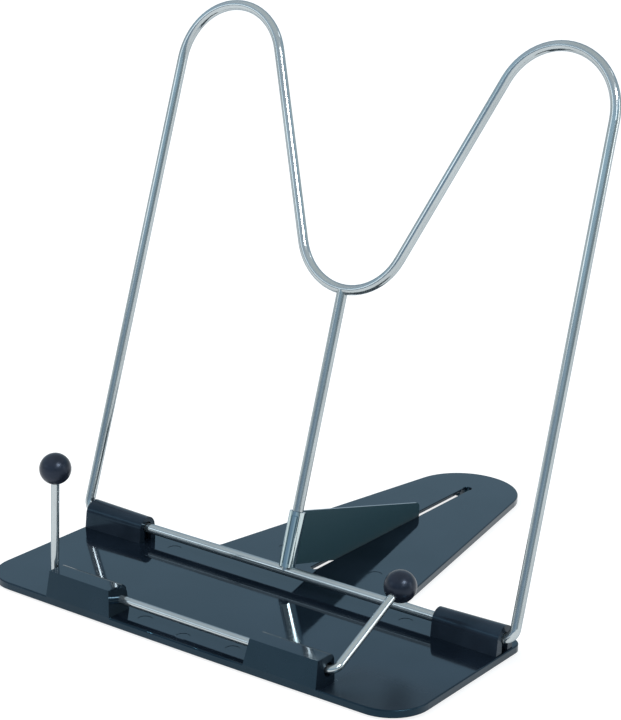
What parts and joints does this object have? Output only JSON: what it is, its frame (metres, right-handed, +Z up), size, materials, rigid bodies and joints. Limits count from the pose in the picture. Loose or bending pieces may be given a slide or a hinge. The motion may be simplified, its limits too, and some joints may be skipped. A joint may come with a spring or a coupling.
{
  "type": "photo album stand",
  "caption": "Folding display stand for an open album: moulded base, tilting wire back with a deep notch, sliding prop in a slot, and wire page holders with ball ends.",
  "frame": {"origin": "on the table, below the middle of the stand's footprint", "axes": "+X to the viewer's right along the hinge line, +Y to the back along the slot, +Z up from the table"},
  "size_m": [0.2094, 0.2185, 0.2155],
  "materials": {
    "base_plastic": "polished black moulding",
    "hinge_plastic": "polished black moulding",
    "chrome_wire": "bright plated wire",
    "prop_steel": "bright plated sheet",
    "ball_plastic": "satin black",
    "foot_rubber": "matt black"
  },
  "bodies": {
    "base": {"base_plate": "base_plastic", "hinge_block_left": "hinge_plastic", "hinge_block_right": "hinge_plastic", "foot_pad_1": "foot_rubber", "foot_pad_2": "foot_rubber", "foot_pad_3": "foot_rubber", "foot_pad_4": "foot_rubber", "foot_pad_5": "foot_rubber", "foot_pad_6": "foot_rubber"},
    "backrest": {"back_frame": "chrome_wire", "center_post": "chrome_wire"},
    "prop": {"prop_plate": "prop_steel"},
    "left_holder": {"holder_wire_left": "chrome_wire", "holder_ball_left": "ball_plastic"},
    "right_holder": {"holder_wire_right": "chrome_wire", "holder_ball_right": "ball_plastic"}
  },
  "joints": [
    {"name": "backrest_tilt", "type": "hinge", "parent": "base", "child": "backrest", "pos_m": [0, -0.04195, 0.00935], "axis": [-1, 0, 0], "range_deg": [0, 29.5]},
    {"name": "prop_slide", "type": "slide", "parent": "backrest", "child": "prop", "axis": [0, 0.304, 0.9527], "range_m": [0, 0.0653]},
    {"name": "left_holder_turn", "type": "hinge", "parent": "base", "child": "left_holder", "pos_m": [-0.0663, -0.10115, 0.0087], "axis": [-1, 0, 0], "range_deg": [-91.8, 85.2]},
    {"name": "right_holder_turn", "type": "hinge", "parent": "base", "child": "right_holder", "pos_m": [0.0663, -0.10115, 0.0087], "axis": [-1, 0, 0], "range_deg": [-154.6, 22.4]}
  ],
  "couplings": [
    {"joint": "prop_slide", "follows": "backrest_tilt", "m_per_rad": 0.1266}
  ]
}
